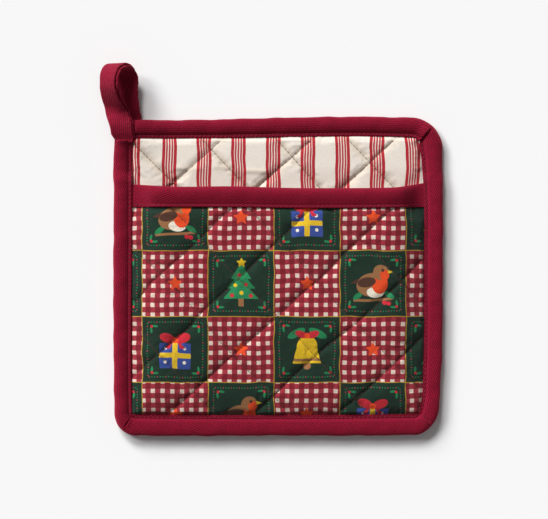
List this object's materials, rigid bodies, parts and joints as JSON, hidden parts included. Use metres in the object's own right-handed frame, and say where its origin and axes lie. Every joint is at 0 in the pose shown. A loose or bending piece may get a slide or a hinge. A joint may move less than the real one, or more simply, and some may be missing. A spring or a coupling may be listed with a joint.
{
  "type": "pot holder",
  "caption": "Quilted square pot holder with a front hand pocket, bound edges and a hanging loop at one corner, lying on its back.",
  "frame": {"origin": "centre of the back, in the plane that the back rests on", "axes": "+Z out of the cloth towards the viewer, +Y up towards the corner loop's edge, +X to the right as seen from the front"},
  "size_m": [0.2289, 0.2489, 0.0277],
  "materials": {
    "ticking": "cream cotton ticking with red stripes, quilted over batting",
    "print": "printed cotton in bottle green and dark red, quilted over batting",
    "twill": "dark red cotton twill, matt"
  },
  "bodies": {
    "root": {"back_panel": "ticking", "pocket_panel": "print", "edge_binding": "twill", "pocket_binding": "twill", "hanging_loop": "twill"}
  },
  "joints": []
}
